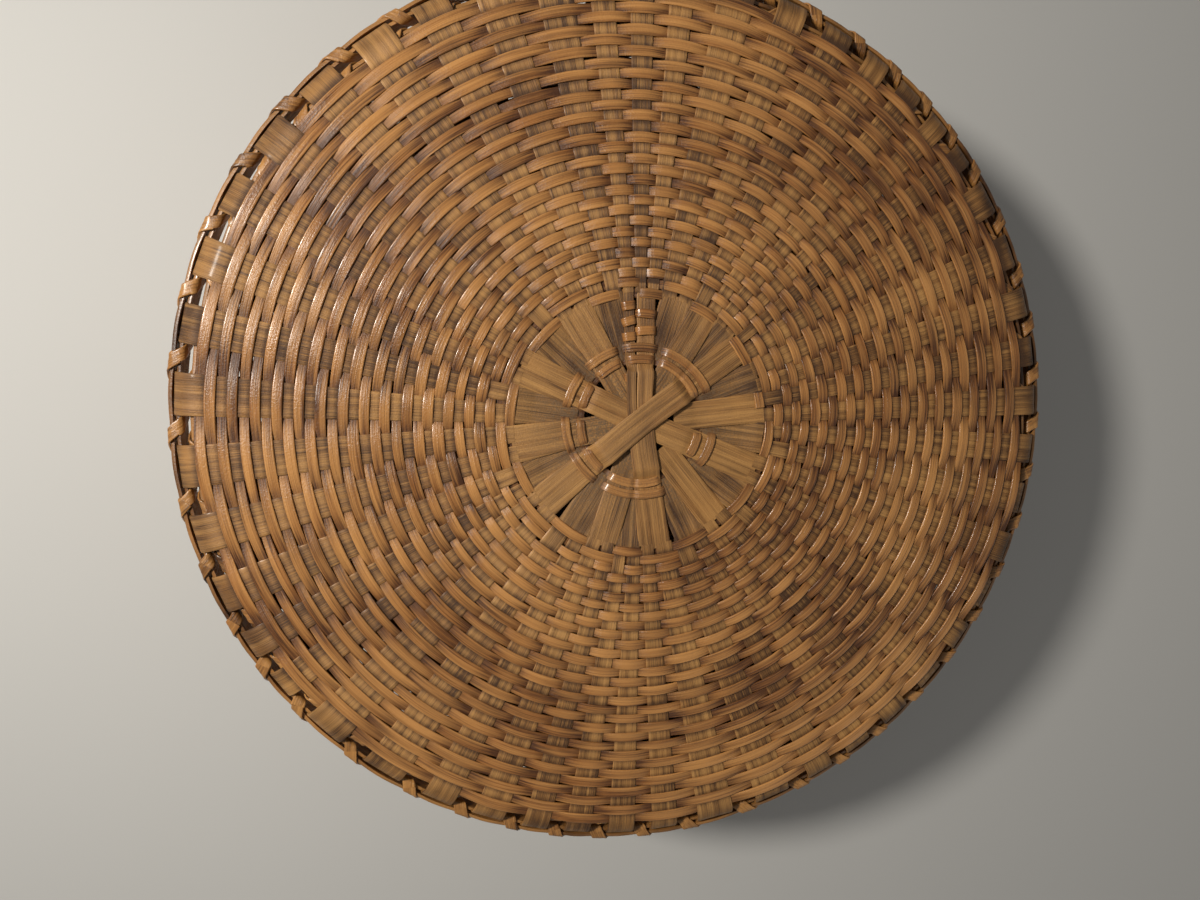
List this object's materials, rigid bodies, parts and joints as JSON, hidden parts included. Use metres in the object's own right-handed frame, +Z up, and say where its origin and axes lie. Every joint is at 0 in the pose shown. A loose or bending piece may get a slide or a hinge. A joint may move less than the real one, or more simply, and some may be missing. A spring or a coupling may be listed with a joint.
{
  "type": "covered basket",
  "caption": "Round covered basket of plain-woven wood splint with straight sides, lashed double-hoop rims and a shallow lid that lifts off.",
  "frame": {"origin": "centre of the base, on the surface that the basket stands on", "axes": "+Z up along the basket's axis; +Y towards the lid's rib that is split in three"},
  "size_m": [0.3292, 0.3291, 0.115],
  "materials": {
    "hoop_splint": "satin",
    "lashing_splint": "satin",
    "weaver_splint": "satin",
    "rib_splint": "satin"
  },
  "bodies": {
    "basket": {"base_binding_weaver": "weaver_splint", "base_laid_in_rib_1": "rib_splint", "base_laid_in_rib_10": "rib_splint", "base_laid_in_rib_11": "rib_splint", "base_laid_in_rib_12": "rib_splint", "base_laid_in_rib_2": "rib_splint", "base_laid_in_rib_3": "rib_splint", "base_laid_in_rib_4": "rib_splint", "base_laid_in_rib_5": "rib_splint", "base_laid_in_rib_6": "rib_splint", "base_laid_in_rib_7": "rib_splint", "base_laid_in_rib_8": "rib_splint", "base_laid_in_rib_9": "rib_splint", "base_rib_1": "rib_splint", "base_rib_2": "rib_splint", "base_rib_3": "rib_splint", "base_rib_4": "rib_splint", "base_rib_5": "rib_splint", "base_rib_6": "rib_splint", "base_weaver": "weaver_splint", "body_heels": "rib_splint", "body_inner_hoop": "hoop_splint", "body_lashing": "lashing_splint", "body_outer_hoop": "hoop_splint", "body_side_weaver": "weaver_splint", "body_uprights": "rib_splint"},
    "lid": {"lid_binding_weaver": "weaver_splint", "lid_face_weaver": "weaver_splint", "lid_inner_hoop": "hoop_splint", "lid_laid_in_rib_1": "rib_splint", "lid_laid_in_rib_10": "rib_splint", "lid_laid_in_rib_11": "rib_splint", "lid_laid_in_rib_12": "rib_splint", "lid_laid_in_rib_2": "rib_splint", "lid_laid_in_rib_3": "rib_splint", "lid_laid_in_rib_4": "rib_splint", "lid_laid_in_rib_5": "rib_splint", "lid_laid_in_rib_6": "rib_splint", "lid_laid_in_rib_7": "rib_splint", "lid_laid_in_rib_8": "rib_splint", "lid_laid_in_rib_9": "rib_splint", "lid_lashing": "lashing_splint", "lid_outer_hoop": "hoop_splint", "lid_rib_1": "rib_splint", "lid_rib_2": "rib_splint", "lid_rib_3": "rib_splint", "lid_rib_4": "rib_splint", "lid_rib_ends": "rib_splint", "lid_short_rib_1": "rib_splint", "lid_short_rib_2": "rib_splint", "lid_short_rib_3": "rib_splint", "lid_short_rib_4": "rib_splint", "lid_shoulders": "rib_splint"}
  },
  "joints": [
    {"name": "lid_lift", "type": "slide", "parent": "basket", "child": "lid", "axis": [0, 0, 1], "range_m": [0, 0.15]}
  ]
}
